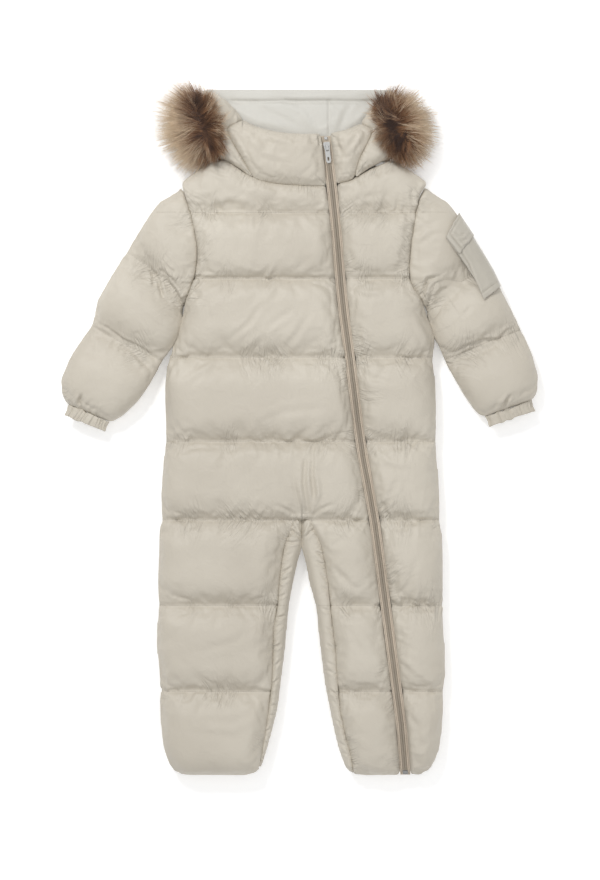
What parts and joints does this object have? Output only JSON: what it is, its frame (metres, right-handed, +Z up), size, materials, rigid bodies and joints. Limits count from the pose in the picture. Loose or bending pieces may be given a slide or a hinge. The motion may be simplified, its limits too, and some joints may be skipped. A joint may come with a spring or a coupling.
{
  "type": "toddler snowsuit",
  "caption": "Padded one-piece toddler snowsuit laid flat: hooded, quilted in wide channels, slanting full-length front zip with pull tab, sleeve pocket and two fur pompoms.",
  "frame": {"origin": "on the flat underside of the back, on the garment's middle line at the waist", "axes": "+Z up out of the front, +Y towards the hood, +X towards the wearer's left"},
  "size_m": [0.644, 0.938, 0.0556],
  "materials": {
    "shell": "smooth nylon with a soft sheen",
    "pocket_cloth": "smooth nylon, unpadded",
    "lining": "matt lining",
    "tape": "woven zip tape and coil",
    "metal": "bright nickel",
    "fur": "long soft pile, dark roots and pale tips"
  },
  "bodies": {
    "garment": {"front_right": "shell", "front_left": "shell", "gusset_right": "shell", "gusset_left": "shell", "back_right": "shell", "back_left": "shell", "sleeve_right": "shell", "sleeve_left": "shell", "cuff_right": "shell", "cuff_left": "shell", "chin_right": "shell", "chin_left": "shell", "hood_side_right": "shell", "hood_side_left": "shell", "hood_back": "shell", "hood_lining": "lining", "zip_tape": "tape", "zip_coil": "tape", "zip_top_stop": "metal", "zip_bottom_stop": "metal", "zip_slider": "metal", "pocket": "pocket_cloth", "pocket_flap": "pocket_cloth", "pompom_right": "fur", "pompom_left": "fur"},
    "pull_tab": {"zip_pull": "metal"}
  },
  "joints": [
    {"name": "pull_tab_hinge", "type": "hinge", "parent": "garment", "child": "pull_tab", "pos_m": [0.03485, 0.381, 0.03506], "axis": [-0.9923, -0.1236, 0], "range_deg": [0, 160]}
  ]
}
